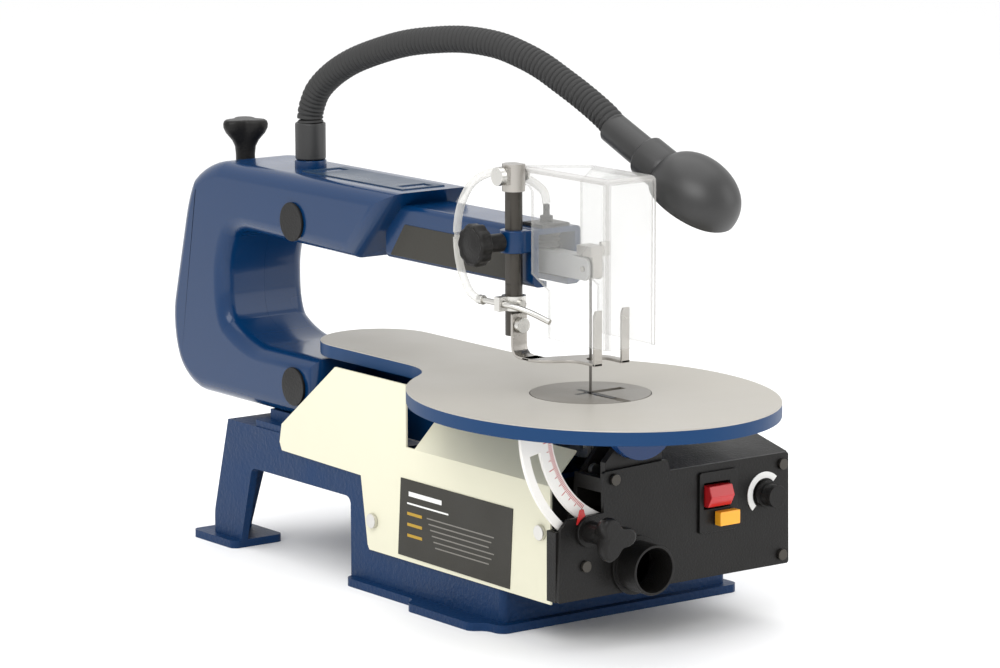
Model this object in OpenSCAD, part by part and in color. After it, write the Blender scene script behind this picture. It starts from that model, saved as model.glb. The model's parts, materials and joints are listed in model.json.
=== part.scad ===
/* [Overall] */
// Throat, from the blade to the inner face of the C-frame
throat = 406; // [380:1:430]
// Height of the table top above the bench
table_h = 172; // [165:1:190]
// Width of the front arm
arm_w = 42; // [36:1:50]
// Width of the C-frame casting
frame_w = 78; // [74:1:84]
// Wall of the C-frame halves
frame_wall = 6; // [4:0.5:8]

/* [Base casting] */
// Width of the base over its flange
base_w = 217; // [200:1:240]
// Length of the base over its feet
base_l = 398; // [380:1:420]
// Height of the base deck above the bench
base_h = 98; // [92:1:101]
// Wall of the base casting
base_wall = 6; // [4:0.5:9]
// How far the flange stands out from the wall
flange_out = 7; // [5:0.5:10]
// Thickness of the flange and feet
flange_t = 6; // [4:0.5:8]
// Distance between the bench bolts across the saw
bolt_dx = 176; // [160:1:190]
// Distance between the bench bolts along the saw
bolt_dy = 340; // [320:1:350]
// Diameter of the bench bolt holes
bolt_hole_d = 8.5; // [6:0.5:10]

/* [Table] */
// Width of the table
table_w = 240; // [230:1:250]
// Thickness of the table
table_t = 10.5; // [8:0.5:14]
// Width of the narrow tail of the table
tail_w = 88; // [80:1:90]
// Distance from the blade to the back end of the table
tail_y = 310; // [290:1:320]
// Diameter of the table insert
insert_d = 84; // [70:1:90]
// Thickness of the table insert
insert_t = 3; // [2:0.5:4]
// Largest tilt of the table
tilt_max = 45; // [30:1:45]
// Radius of the trunnion disc under the table
trunnion_r = 30; // [28:1:31]
// Radius of the middle of the tilt scale slot
scale_r = 86.5; // [84:0.5:88]

/* [Arms and blade] */
// Distance from the blade to the rocker pivots
pivot_y = 308; // [290:1:320]
// Height of the upper pivot above the table top
pivot_z = 87; // [84:1:90]
// Distance between the blade pins
blade_l = 124; // [120:1:127]
// Diameter of the pivot shafts
pivot_d = 12; // [10:0.5:14]
// Stroke of the blade
stroke = 14.3; // [10:0.1:15]
// Width of the rocker arms
rocker_w = 14; // [10:0.5:16]
// Depth of the rocker arms
rocker_h = 16; // [12:1:18]
// Running clearance of a shaft in its bush
fit = 0.05; // [0.02:0.01:0.1]
// Clearance between pieces that move past each other
gap = 0.6; // [0.4:0.1:1]

/* [Guard and lamp] */
// Diameter of the guard post
post_d = 12.2; // [10:0.1:14]
// Wall of the clear guard
guard_wall = 2.5; // [2:0.5:4]
// Outer diameter of the lamp gooseneck
neck_d = 20; // [16:1:22]
// Diameter of the lamp shade
shade_d = 60; // [52:1:64]
// Outer diameter of the air hose
hose_d = 6; // [5:0.5:8]

/* [Controls] */
// Wall of the plastic housings
shell = 3; // [2:0.5:4]
// Outer diameter of the dust port
port_d = 35; // [31:1:38]
// Wall of the dust port
port_wall = 2; // [1.5:0.5:3]
// Length of the dust port in front of the panel
port_l = 22; // [18:1:30]
// Diameter of the speed knob
dial_d = 16; // [14:1:20]

/* [Hidden] */
$fn = 40;

// The blade line is x = 0, y = 0 and the table top is z = 0 in every module;
// saw() moves that to the centre of the bench bolts on the underside of the base.
base_x0 = -51;
base_y0 = 36;
base_cx = base_x0 + base_w / 2;
base_cy = base_y0 + base_l / 2;
bench_z = -table_h;
deck_z = bench_z + base_h;
wall_x0 = base_x0 + flange_out;
wall_x1 = base_x0 + base_w - flange_out;
wall_y0 = base_y0 + flange_out;
wall_y1 = base_y0 + base_l - 18;
bolt_x = [base_cx - bolt_dx / 2, base_cx + bolt_dx / 2];
bolt_y = [base_cy - bolt_dy / 2, base_cy + bolt_dy / 2];
well_y1 = 222;
web_x0 = 24;
cover_x = wall_x0 - 0.3;
cover_t = 1.6;
cover_y0 = -14;

half_w = frame_w / 2;
arm_half = arm_w / 2;
arm_y0 = 38;
arm_top = 111;
arm_bot = 70;
frame_top = 121;
lower_half = 22;
lower_y0 = -14;
lower_wall = 4;
lower_arm_top = -21;
frame_foot = deck_z + 13;
foot_y0 = 283;
lower_top = -14;
inner_y = throat;
back_y = throat + 81;
joint_gap = 0.1;
foot_bolt_x = [-20, 20];
foot_bolt_y = [292, 338];
foot_bolt_d = 8;
foot_bolt_fit = 0.1;

lower_z = pivot_z - blade_l;
rod_y = pivot_y + 122;
rod_d = 8;
pin_d = 4;
rock_deg = asin(stroke / 2 / pivot_y);
rocker_y0 = 17;
ear_gap = 0.6;

tilt_z = -8;
hub_r = trunnion_r - 6;
panel_y = -53;
panel_back = -50;
panel_z0 = -130;
panel_x1 = 136;
box_y1 = 42;
scale_y0 = -48;
scale_y1 = -45;
scale_in = scale_r - 15.5;
scale_out = scale_r + 10.5;
stud_d = 8;
stud_a = 30;
stud_x = -scale_r * sin(stud_a);
stud_z = tilt_z - scale_r * cos(stud_a);

post_x = -30;
post_y = 48;
post_top = 146;
post_bot = 37;
boss_z = 103;
lock_knob_d = 31;
clamp_z = 138;
lock_washer_d = 22;
guard_x0 = -24;
guard_x1 = 21;
guard_y0 = -48;
guard_top = 155;
guard_bot = 38;
guard_pivot_z = 149;
foot_z = 22.5;
foot_t = 2;
foot_pin_z = 45;
pipe_x = -41;
pipe_r = 2.1;

screw_spots = [[-21, -50], [-46, -107], [129, -58], [129, -123]];

port_x = -3;
port_z = -112;
dial_x = 113;
dial_z = -77;
switch_x = 68.5;
switch_z = -72;
key_x = 75;
key_z = -87.5;
plate_t = 2;

crank_y = 150;
throw_r = (pivot_y - crank_y) * sin(rock_deg);
motor_z = -112;
motor_r = 38;
crank_x0 = 16;
crank_x1 = 22;
crank_pin_d = 6;
rocker_pin_d = 8;
lamp_y = 341;
lamp_z = 127;
sleeve_top = 155;
stub_r = 8;
head_dir = [0.14, -0.87, -0.47];
head_start = [50.5, 25, 170.5];
head_tilt = [0, acos(head_dir[2] / norm(head_dir)), atan2(head_dir[1], head_dir[0])];

module saw() translate([-base_cx, -base_cy, table_h]) children();

// A cylinder along X from x0 to x1.
module rod_x(x0, x1, y, z, d) translate([x0, y, z]) rotate([0, 90, 0]) cylinder(h = x1 - x0, d = d);
// A cylinder along Y from y0 to y1.
module rod_y(x, y0, y1, z, d) translate([x, y1, z]) rotate([90, 0, 0]) cylinder(h = y1 - y0, d = d);
// A box between two corners.
module block(a, b) translate(a) cube(b - a);
// Extrudes an outline drawn in (y, z) along X from x0 to x1.
module side_plate(x0, x1) translate([x0, 0, 0]) rotate([90, 0, 90]) linear_extrude(x1 - x0) children();
// Extrudes an outline drawn in (x, z) along Y from y0 to y1.
module front_plate(y0, y1) translate([0, y1, 0]) rotate([90, 0, 0]) linear_extrude(y1 - y0) children();
// Rounds the outward corners of an outline.
module soft(r) offset(r = r) offset(delta = -r) children();
// Fills the inward corners of an outline.
module filled(r) offset(r = -r) offset(delta = r) children();

// A tube swept along points, with sides corners to a ring.
function unit(v) = v / norm(v);
function heading(p, i) = unit(p[min(i + 1, len(p) - 1)] - p[max(i - 1, 0)]);
function ring(c, t, r, sides) =
  let (u = unit(cross(t, [0.01, 0.02, 1])), v = cross(t, u))
  [for (k = [0 : sides - 1]) c + r * (cos(360 * k / sides) * u + sin(360 * k / sides) * v)];
module tube(points, r, sides) {
  n = len(points);
  rings = [for (i = [0 : n - 1]) each ring(points[i], heading(points, i), r, sides)];
  walls = [for (i = [0 : n - 2]) for (k = [0 : sides - 1])
    [i * sides + k, i * sides + (k + 1) % sides, (i + 1) * sides + (k + 1) % sides, (i + 1) * sides + k]];
  ends = [[for (k = [sides - 1 : -1 : 0]) k], [for (k = [0 : sides - 1]) (n - 1) * sides + k]];
  polyhedron(rings, concat(walls, ends));
}
// Points of a smooth curve through the chosen points, steps to a stretch.
function between(a, b, c, d, s) = 0.5 * (2 * b + (c - a) * s + (2 * a - 5 * b + 4 * c - d) * s * s
  + (3 * b - a - 3 * c + d) * s * s * s);
function smooth(p, steps) = [for (i = [0 : len(p) - 2]) for (j = [0 : steps - 1])
  between(p[max(i - 1, 0)], p[i], p[i + 1], p[min(i + 2, len(p) - 1)], j / steps), p[len(p) - 1]];

hose_route = [
  [0, 50, 126.4], [-2, 52, 136], [-14, 59, 145.5], [-26, 71, 149], [-36, 86, 141], [-41, 95, 123], [-42, 98, 101],
  [-42, 94, 80], [-41.5, 85, 65], [pipe_x, 76, 60.2], [pipe_x, 73.6, 60]
];
neck_route = [
  [0, lamp_y, sleeve_top + 0.9], [0, lamp_y, 160], [0.5, 339, 168], [1.5, 332, 180], [4, 318, 192], [7, 298, 203],
  [11, 274, 212], [16, 242, 221], [21, 211, 226], [26, 180, 228.5], [31, 150, 227], [34, 127, 222.5],
  [38, 106, 215.5], [41, 86, 206.5], [44, 64, 196], [47.2, 43, 184], head_start - 6 * unit(head_dir), head_start
];
pipe_route = [
  [pipe_x, 73, 60], [pipe_x, 62, 60], [pipe_x, 50, 60], [pipe_x, 43, 60], [-38, 36, 59], [-32, 25, 55.5],
  [-27, 11, 50.5]
];

// Space swept below the table as its left side goes down, for an edge r from the tilt axis.
module tilt_sweep(y0, y1, r) front_plate(y0, y1)
  for (a = [0 : 3 : tilt_max]) translate([0, tilt_z]) rotate(a)
    translate([-r, -table_t - tilt_z - gap]) square([r, table_t + gap]);
module tilt_relief() {
  tilt_sweep(-130, 148, table_w / 2 + 2);
  tilt_sweep(147, tail_y + 4, tail_w / 2 - 6);
}

module base_outline() translate([wall_x0, wall_y0]) square([wall_x1 - wall_x0, wall_y1 - wall_y0]);
// Outer or inner body of the base: t is how far it lies inside the outer faces.
module base_body(t, low) intersection() {
  translate([0, 0, low]) linear_extrude(deck_z - t - low) soft(5) offset(delta = -t) base_outline();
  side_plate(wall_x0 - 1, wall_x1 + 1) polygon([
    [wall_y0, low], [wall_y0, deck_z], [wall_y1 - 24 - t, deck_z], [wall_y1 - t, bench_z + 10], [wall_y1 - t, low]
  ]);
}
// Cast base: walls with a deck, open below, an arch through both sides, a flange and back feet.
module base_casting() saw() color("#0d2f57") {
  arch_y0 = 229;
  arch_y1 = 366;
  arch_z = -107;
  foot_w = 46;
  difference() {
    union() {
      difference() {
        union() {
          base_body(0, bench_z);
          translate([0, 0, bench_z]) linear_extrude(flange_t) filled(12) soft(8) {
            translate([base_x0, base_y0]) square([base_w, arch_y0 - base_y0]);
            translate([base_x0 - 11, 55]) square([60, 82]);
          }
        }
        base_body(base_wall, bench_z - 1);
        // Arches through both side walls and the back.
        for (x = [wall_x0 - 1, wall_x1 - base_wall - 1]) side_plate(x, x + base_wall + 2) soft(6) polygon([
          [arch_y0, bench_z - 9], [arch_y0, arch_z], [arch_y1 - 6, arch_z], [arch_y1 + 14, bench_z - 9]
        ]);
        front_plate(wall_y1 - 40, wall_y1 + 1) soft(8) polygon([
          [wall_x0 + 30, bench_z - 12], [wall_x0 + 38, arch_z], [wall_x1 - 38, arch_z], [wall_x1 - 30, bench_z - 12]
        ]);
        // Window in the left wall for the drive, and the well in the deck for the motor.
        block([wall_x0 - 1, wall_y0 + 22, bench_z + 44], [wall_x0 + base_wall + 1, 172, deck_z + 1]);
        block([wall_x0 + base_wall, wall_y0 + base_wall, deck_z - 20], [wall_x1 - base_wall, well_y1, deck_z + 1]);
      }
      // Back feet.
      for (x = [base_x0, base_x0 + base_w - foot_w]) translate([0, 0, bench_z]) linear_extrude(flange_t) soft(6)
        translate([x, wall_y1 - 40]) square([foot_w, base_y0 + base_l - wall_y1 + 40]);
      // Pad and foot block of the C-frame.
      translate([0, 0, deck_z - base_wall]) linear_extrude(base_wall + 5) soft(4)
        translate([-half_w - 4, 246]) square([frame_w + 8, 112]);
      block([-half_w + 6, foot_y0 - 4, deck_z], [half_w - 6, 350, frame_foot]);
      // Web that carries the motor.
      block([web_x0, wall_y0 + 2, motor_z - 40], [web_x0 + base_wall, well_y1 + 4, deck_z]);
      for (x = bolt_x) translate([x, bolt_y[0], bench_z]) cylinder(h = 16, d = 22);
    }
    for (x = bolt_x) for (y = bolt_y) translate([x, y, bench_z - 1]) cylinder(h = 20, d = bolt_hole_d);
    for (x = foot_bolt_x) for (y = foot_bolt_y)
      translate([x, y, deck_z - 20]) cylinder(h = 40, d = foot_bolt_d + 2 * foot_bolt_fit);
    rod_x(web_x0 - 1, web_x0 + base_wall + 1, crank_y, motor_z, 40);
    rod_x(wall_x0 - 1, wall_x0 + base_wall + 1, 197, -119, 5);
  }
}

// Side outline of the C-frame casting in (y, z).
module frame_outline() filled(18) soft(11) polygon([
  [183, frame_top], [back_y - 56, frame_top], [back_y - 31, 99], [back_y, -16], [back_y - 24, frame_foot],
  [foot_y0, frame_foot],
  [foot_y0, lower_top], [inner_y - 26, lower_top], [inner_y, 4], [inner_y, 50], [inner_y - 14, arm_bot + 1],
  [235, arm_bot - 2]
]);
// Outer form of the casting with stepped soft edges, and its narrow front arms.
module frame_solid() {
  inset = [1.5, 4.5, 8];
  reach = [6, 2, 0];
  side_plate(-half_w + 14, half_w - 14) frame_outline();
  for (k = [0 : 2]) side_plate(reach[k] - half_w, half_w - reach[k]) offset(delta = -inset[k]) frame_outline();
  block([-arm_half, arm_y0, arm_bot], [arm_half, 240, arm_top]);
  block([-lower_half, lower_y0, frame_foot], [lower_half, 300, lower_arm_top]);
  // Boss for the guard post, and the round seat of the lamp.
  translate([post_x, post_y, boss_z - 8]) cylinder(h = 16, r = 10);
  block([post_x, post_y - 10, boss_z - 8], [-arm_half + 1, post_y + 10, boss_z + 8]);
  translate([0, lamp_y, frame_top - 4]) cylinder(h = lamp_z - frame_top + 4, r = 12);
  translate([0, lamp_y, frame_top]) cylinder(h = 24, r = stub_r);
}
module frame_cavity() {
  inner = half_w - frame_wall;
  side_plate(-inner, inner) offset(delta = -frame_wall) frame_outline();
  block([-arm_half + 5, 64, arm_bot + 4], [arm_half - 5, 250, arm_top - 4]);
  // Open front of the upper arm, with a slot below for the rocker arm.
  block([-11, arm_y0 - 1, arm_bot + 4], [11, 70, arm_top - 4]);
  block([-9, arm_y0 - 1, arm_bot - 1], [9, 126, arm_bot + 5]);
  // The lower arm is a trough, open on top.
  block([lower_wall - lower_half, lower_y0 + lower_wall, frame_foot + lower_wall],
    [lower_half - lower_wall, 300, lower_arm_top + 1]);
  // Opening below the lower blade holder, which dips through it.
  block([-9, -10, frame_foot - 1], [13, 10, frame_foot + lower_wall + 1]);
  block([8, crank_y - 13, frame_foot - 1], [lower_half - lower_wall, crank_y + 13, frame_foot + lower_wall + 1]);
}
module frame_half(side) intersection() {
  difference() {
    union() {
      difference() {
        frame_solid();
        frame_cavity();
      }
      // Bearing bosses of the two pivots, and the bolt bosses of the foot.
      for (z = [pivot_z, lower_z]) difference() {
        rod_x(-half_w + 3, half_w - 3, pivot_y, z, 30);
        rod_x(-rocker_w / 2 - 4, rocker_w / 2 + 4, pivot_y, z, 31);
      }
      for (x = foot_bolt_x) for (y = foot_bolt_y) translate([x, y, frame_foot + 1]) cylinder(h = 13, d = 16);
    }
    for (z = [pivot_z, lower_z]) rod_x(-half_w - 1, half_w + 1, pivot_y, z, pivot_d + 2 * fit);
    for (x = foot_bolt_x) for (y = foot_bolt_y)
      translate([x, y, frame_foot - 1]) cylinder(h = 12, d = foot_bolt_d + 2 * foot_bolt_fit);
    translate([post_x, post_y, boss_z - 20]) cylinder(h = 40, d = post_d + 2 * fit);
    rod_x(post_x - 20, post_x, post_y, boss_z, 6 + 2 * fit);
    // Hole for the tension rod and its knob, and the pocket under the top plate.
    translate([0, rod_y, 90]) cylinder(h = 60, d = 20);
    block([-19.2, 196, frame_top - 1.5], [19.2, lamp_y - 16, frame_top + 1]);
    // Air passage through the roof above the bellows.
    translate([0, 50, arm_top - 6]) cylinder(h = 10, d = 4);
    for (x = [-12, 12]) rod_y(x, lower_y0 - 1, lower_y0 + lower_wall + 1, -50, 5);
    tilt_relief();
  }
  block([side < 0 ? -100 : joint_gap / 2, -200, -200], [side < 0 ? -joint_gap / 2 : 100, 600, 300]);
}
module frame_left_half() saw() color("#12365f") frame_half(-1);
module frame_right_half() saw() color("#12365f") frame_half(1);

// Inlaid plate along the top of the C-frame, with a pocket at each end.
module frame_top_plate() saw() color("#4a6079") difference() {
  block([-19, 196.2, frame_top - 1.4], [19, lamp_y - 16.2, frame_top + 0.8]);
  for (y = [200, 308]) block([-12, y, frame_top - 0.6], [12, y + 13, frame_top + 1]);
}

// Hexagon bolts that hold the C-frame to the base from below.
module frame_bolts() saw() color("silver") for (x = foot_bolt_x) for (y = foot_bolt_y) {
  translate([x, y, deck_z - base_wall - 5]) cylinder(h = 5, d = 14, $fn = 6);
  translate([x, y, deck_z - base_wall - 1]) cylinder(h = frame_foot + 10 - deck_z + base_wall, d = foot_bolt_d);
}

// Round plugs over the ends of the pivot shafts.
module pivot_caps() saw() color("#2b2724") for (z = [pivot_z, lower_z]) for (x = [-half_w - 2.3, half_w + 0.1])
  rod_x(x, x + 2.2, pivot_y, z, 29);

// Shafts that the rocker arms turn on.
module pivot_shafts() saw() color("gainsboro") for (z = [pivot_z, lower_z])
  rod_x(-half_w, half_w, pivot_y, z, pivot_d);

// A rocker arm with a bored hub, a fork at the front and another at the back.
module rocker(z) difference() {
  union() {
    side_plate(-rocker_w / 2, rocker_w / 2) soft(5)
      translate([-6, z - rocker_h / 2]) square([rod_y + 12.5, rocker_h]);
    rod_x(-rocker_w / 2 - 3, rocker_w / 2 + 3, pivot_y, z, 20);
  }
  rod_x(-20, 20, pivot_y, z, pivot_d + 2 * fit);
  // Slots for the blade holder and for the tension rod.
  block([-4 - ear_gap, -12, z - 12], [4 + ear_gap, rocker_y0, z + 12]);
  block([-4 - ear_gap, rod_y - 12, z - 14], [4 + ear_gap, rod_y + 12, z + 14]);
  for (y = [0, rod_y]) rod_x(-20, 20, y, z, pin_d + 2 * fit);
}
module upper_rocker_arm() saw() color("#8b8d90") rocker(pivot_z);
// The lower arm also carries the pin that the connecting rod drives.
module lower_rocker_arm() saw() color("#8b8d90") {
  rocker(lower_z);
  rod_x(rocker_w / 2 - 1, lower_half - lower_wall - 1.5, crank_y, lower_z, rocker_pin_d);
}

// Rod that ties the back ends of the two rocker arms together.
module tension_rod() saw() color("#9a9b9d") {
  translate([0, rod_y, lower_z - 7]) cylinder(h = 118 - lower_z + 7, d = rod_d);
  for (z = [pivot_z, lower_z]) rod_x(-rocker_w / 2 - 1, rocker_w / 2 + 1, rod_y, z, pin_d);
}
// Outline of a grip with three lobes.
module lobes(r) filled(r * 0.5) {
  circle(r * 0.6);
  for (a = [90, 210, 330]) rotate(a) translate([r * 0.64, 0]) circle(r * 0.36);
}
module tension_knob() saw() color("#2d2b29") translate([0, rod_y, 0]) difference() {
  union() {
    translate([0, 0, 131]) linear_extrude(18) lobes(19);
    translate([0, 0, 108]) cylinder(h = 26, d = 15);
  }
  translate([0, 0, 100]) cylinder(h = 18.5, d = rod_d + 2 * fit);
}

// Blade holder: a clamp block on a cross pin, with a wider jaw at its far end.
module holder(z, up) difference() {
  union() {
    block([-4, -8, z - 6], [4, 8, z + 6]);
    translate([0, 0, z + up * 12.5]) cube([12, 16, 7], center = true);
    translate([0, 0, z + up * 7]) cube([8, 16, 9], center = true);
    rod_x(-rocker_w / 2 - 1, rocker_w / 2 + 1, 0, z, pin_d);
  }
  block([-0.3, -1.4, z - 20], [0.3, 1.4, z + 20]);
  rod_x(0, 7, 0, z + up * 12.5, 3.1);
}
module upper_blade_holder() saw() color("#a9a9a6") holder(pivot_z, 1);
module lower_blade_holder() saw() color("#a9a9a6") holder(lower_z, -1);

// Thumb screw with a flat wing for the upper holder, and the set screw of the lower one.
module upper_thumb_screw() saw() color("#b9b8b2") {
  rod_x(0.4, 9, 0, pivot_z + 12.5, 3);
  rod_x(6.2, 9, 0, pivot_z + 12.5, 7);
  side_plate(8.5, 16) translate([-1.2, pivot_z + 7.5]) square([2.4, 10]);
}
module lower_clamp_screw() saw() color("#b9b8b2") {
  rod_x(0.4, 7, 0, lower_z - 12.5, 3);
  rod_x(6.2, 9.5, 0, lower_z - 12.5, 6);
}

// Plain-end blade.
module saw_blade() saw() color("#55524c")
  block([-0.25, -1.3, lower_z - 15], [0.25, 1.3, pivot_z + 15]);

// Bellows of the dust blower, squeezed between the upper rocker arm and the roof of the front arm.
module air_bellows() saw() color("#26282a") translate([0, 50, pivot_z + rocker_h / 2 + 0.4]) rotate_extrude()
  polygon([[0, 0], [8, 0], [10, 2], [8, 4], [10, 6], [8, 8], [10, 10], [8, 11.5], [0, 11.5]]);

// Square foot and barbed stem of the air outlet.
module air_fitting() saw() color("#3c3a38") difference() {
  union() {
    block([-12, 39, arm_top], [12, 62, arm_top + 2.4]);
    translate([0, 50, arm_top]) cylinder(h = 7, d = 9);
    translate([0, 50, arm_top]) cylinder(h = 15, d = 4.6);
  }
  translate([0, 50, arm_top - 1]) cylinder(h = 20, d = 2.4);
}
module air_hose() saw() color("#e8e8e4") tube(smooth(hose_route, 4), hose_d / 2, 10);

// Bent metal pipe that blows at the cut.
module blower_pipe() saw() color("#c9c8c2") tube(smooth(pipe_route, 4), pipe_r, 10);
// Clip that holds the pipe on the post.
module pipe_clip() saw() color("#c0bfb8") difference() {
  union() {
    translate([post_x, post_y, 55]) cylinder(h = 10, d = post_d + 5);
    block([pipe_x - 4, post_y - 3, 55], [post_x - 7, post_y + 3, 65]);
    rod_y(post_x - 1, post_y - 12, post_y - 6, 60, 6);
  }
  translate([post_x, post_y, 50]) cylinder(h = 20, d = post_d);
  rod_y(pipe_x, post_y - 9, post_y + 9, 60, 2 * pipe_r + 0.7);
}

// Post of the guard and presser foot, with a flat and a cross hole for the foot screw.
module guard_post() saw() color("#45423c") difference() {
  translate([post_x, post_y, post_bot]) cylinder(h = post_top - post_bot, d = post_d);
  block([post_x - 10, post_y - 12, post_bot - 1], [post_x + 10, post_y - 4.1, foot_pin_z + 9]);
  block([post_x - 8, post_y - 8, post_bot + 36], [post_x - post_d / 2 + 0.8, post_y + 8, post_top - 14]);
  rod_y(post_x, post_y - 9, post_y + 9, foot_pin_z, 5.1);
  block([guard_x0 - 0.4, post_y - 10, clamp_z - 12], [guard_x0 + 10, post_y + 10, post_top + 1]);
}
// Round grip with a threaded stem that locks the post.
module post_lock_knob() saw() color("#2d2a27") {
  rod_x(post_x - 28, post_x - 10.4, post_y, boss_z, 13);
  rod_x(post_x - 38, post_x - 28, post_y, boss_z, lock_knob_d);
  rod_x(post_x - 11, post_x - post_d / 2 - 0.35, post_y, boss_z, 6);
}
// Steel cap on top of the post that carries the guard.
module guard_clamp() saw() color("#9b978e") difference() {
  union() {
    translate([post_x, post_y, clamp_z]) cylinder(h = 157 - clamp_z, d = post_d + 4);
    block([post_x, post_y - 6, guard_pivot_z - 9], [guard_x0 - 0.4, post_y + 6, guard_pivot_z + 8]);
    block([post_x - 10, post_y - 5, guard_pivot_z - 6], [post_x, post_y + 5, guard_pivot_z + 6]);
  }
  translate([post_x, post_y, clamp_z - 1]) cylinder(h = post_top - clamp_z + 1, d = post_d);
  block([guard_x0 - 0.4, post_y - 30, clamp_z - 1], [guard_x0 + 30, post_y + 30, 160]);
  rod_x(post_x - 20, post_x + 20, post_y, guard_pivot_z, 5);
}
// Shoulder screw that the guard turns on.
module guard_screw() saw() color("#4b4844") {
  rod_x(post_x - 15, post_x - 10, post_y, guard_pivot_z, 13);
  rod_x(post_x - 11, guard_x0 + guard_wall + 1, post_y, guard_pivot_z, 4.9);
  rod_x(guard_x0 + guard_wall + 0.4, guard_x0 + guard_wall + 2.4, post_y, guard_pivot_z, 9);
}
// Clear guard: front, two sides and a short roof, open at the back and below.
module blade_guard() saw() color("#dfe8ee", 0.4) difference() {
  union() {
    side_plate(guard_x0, guard_x0 + guard_wall) polygon([
      [guard_y0, guard_bot], [guard_y0, guard_top], [54, guard_top], [54, 142], [40, 142], [36, 138], [36, 81],
      [17, 71], [17, guard_bot]
    ]);
    side_plate(guard_x1 - guard_wall, guard_x1) polygon([
      [guard_y0, guard_bot], [guard_y0, guard_top], [20, guard_top], [36, 138], [36, 81], [17, 71], [17, guard_bot]
    ]);
    block([guard_x0, guard_y0, guard_bot], [guard_x1, guard_y0 + guard_wall, guard_top]);
    block([guard_x0, guard_y0, guard_top - guard_wall], [guard_x1, 20, guard_top]);
  }
  rod_x(guard_x0 - 1, guard_x0 + guard_wall + 1, post_y, guard_pivot_z, 5);
}

// Bent foot that holds the work down, with a prong up each side of the blade.
module presser_foot() saw() color("#57534c") difference() {
  union() {
    block([-36, 41, foot_z], [-24, 43.5, foot_z + 31]);
    block([-36, 8, foot_z], [-24, 43.5, foot_z + foot_t]);
    block([-36, 8, foot_z], [17, 18, foot_z + foot_t]);
    for (x = [-14, 10]) {
      block([x, -22, foot_z], [x + 7, 12, foot_z + foot_t]);
      block([x, -22, foot_z], [x + 7, -22 + foot_t, foot_z + 39]);
    }
  }
  rod_y(post_x, 40, 45, foot_pin_z, 5.1);
}
module foot_screw() saw() color("#b7b5ae") {
  rod_y(post_x, 36.5, 40.9, foot_pin_z, 11);
  rod_y(post_x, 40, post_y + 7, foot_pin_z, 5);
}

// Plan outline of the table: a round front, a waist and a round tail.
module table_outline() filled(50) {
  translate([0, -2]) intersection() {
    circle(table_w / 2, $fn = 96);
    translate([-200, -200]) square([400, 201]);
  }
  translate([0, -2]) intersection() {
    scale([table_w / 2, 145]) circle(1, $fn = 96);
    translate([-2, 0]) square([400, 400], center = true);
  }
  translate([9 - tail_w / 2, 60]) square([tail_w, tail_y - 60 - tail_w / 2]);
  translate([9, tail_y - tail_w / 2]) circle(tail_w / 2);
}
module table_top() saw() color("#c4bfb4") difference() {
  translate([0, 0, -table_t]) linear_extrude(table_t) table_outline();
  translate([0, 0, -insert_t]) cylinder(h = insert_t + 1, d = insert_d + 0.6);
  translate([0, 0, -table_t - 1]) cylinder(h = table_t + 2, d = insert_d - 10);
}
// Insert with a slot that lets the blade pass at every tilt.
module table_insert() saw() color("#a9a49a") difference() {
  translate([0, 0, -insert_t]) cylinder(h = insert_t, d = insert_d);
  block([-4, -42, -insert_t - 1], [3, 4, 1]);
  block([-4, -3, -insert_t - 1], [29, 4, 1]);
}
// Half disc under the table that turns in the cradle of the bracket.
module table_trunnion() saw() color("#0f3c72") difference() {
  union() {
    rod_y(0, -60, -52, tilt_z, 2 * trunnion_r);
    rod_y(0, -52.5, -42, tilt_z, 2 * hub_r);
  }
  block([-50, -70, -table_t], [50, -30, 50]);
}
// Arc plate under the left side of the table: its slot runs along the lock stud.
module tilt_scale() saw() color("#e9e7e0") difference() {
  front_plate(scale_y0, scale_y1) intersection() {
    translate([0, tilt_z]) difference() {
      circle(scale_out, $fn = 96);
      circle(scale_in, $fn = 96);
    }
    polygon([[0, tilt_z], [-200 * sin(24), tilt_z - 200 * cos(24)], [-200, -150], [-200, -table_t], [0, -table_t]]);
  }
  slot_r = stud_d / 2 + 0.5;
  end_a = asin(slot_r / scale_r) + 0.2;
  front_plate(scale_y0 - 1, scale_y1 + 1) translate([0, tilt_z]) intersection() {
    difference() {
      circle(scale_r + slot_r, $fn = 96);
      circle(scale_r - slot_r, $fn = 96);
    }
    polygon([[0, 0], 200 * [-sin(stud_a - end_a), -cos(stud_a - end_a)], [-260, -150],
      200 * [-sin(stud_a + tilt_max + end_a), -cos(stud_a + tilt_max + end_a)]]);
  }
}
// Pointer on the panel that reads the tilt scale.
module tilt_pointer() saw() color("#b3252b") difference() {
  front_plate(panel_y - 1.2, panel_y - 0.05) polygon([[-54, -77], [-45, -77], [-48, -67], [-51, -67]]);
  rod_y(stud_x, panel_y - 2, panel_y, stud_z, lock_washer_d + 1);
}

// Bracket on the front of the lower arm, with the cradle that the trunnion turns in.
module front_bracket() saw() color("#2f2d2b") difference() {
  union() {
    front_plate(lower_y0 - 4.1, lower_y0 - 0.1) polygon([
      [-26, -76], [web_x0 - 0.5, -76], [web_x0 - 0.5, -30], [-4, -30], [-26, -56]
    ]);
    front_plate(panel_back + 0.4, panel_back + 6) {
      translate([0, tilt_z]) circle(hub_r + 10);
      translate([-26, -60]) square([web_x0 + 25.5, 30]);
    }
    block([17.5, panel_back + 1, -60], [web_x0 - 0.5, lower_y0 - 1, -34]);
    block([-26, panel_back + 1, -60], [-20, lower_y0 - 1, -50]);
  }
  rod_y(0, panel_back - 1, panel_back + 7, tilt_z, 2 * hub_r + 0.7);
  block([-60, panel_back - 1, -17], [60, panel_back + 7, 60]);
  for (x = [-12, 12]) rod_y(x, lower_y0 - 6, lower_y0 + 1, -50, 5);
  tilt_sweep(-70, 0, table_w / 2);
}
module bracket_bolts() saw() color("#8f8d88") for (x = [-12, 12]) {
  rod_y(x, lower_y0 - 8, lower_y0 - 4.2, -50, 9.5);
  rod_y(x, lower_y0 - 5, lower_y0 + 3, -50, 5);
}
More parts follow.
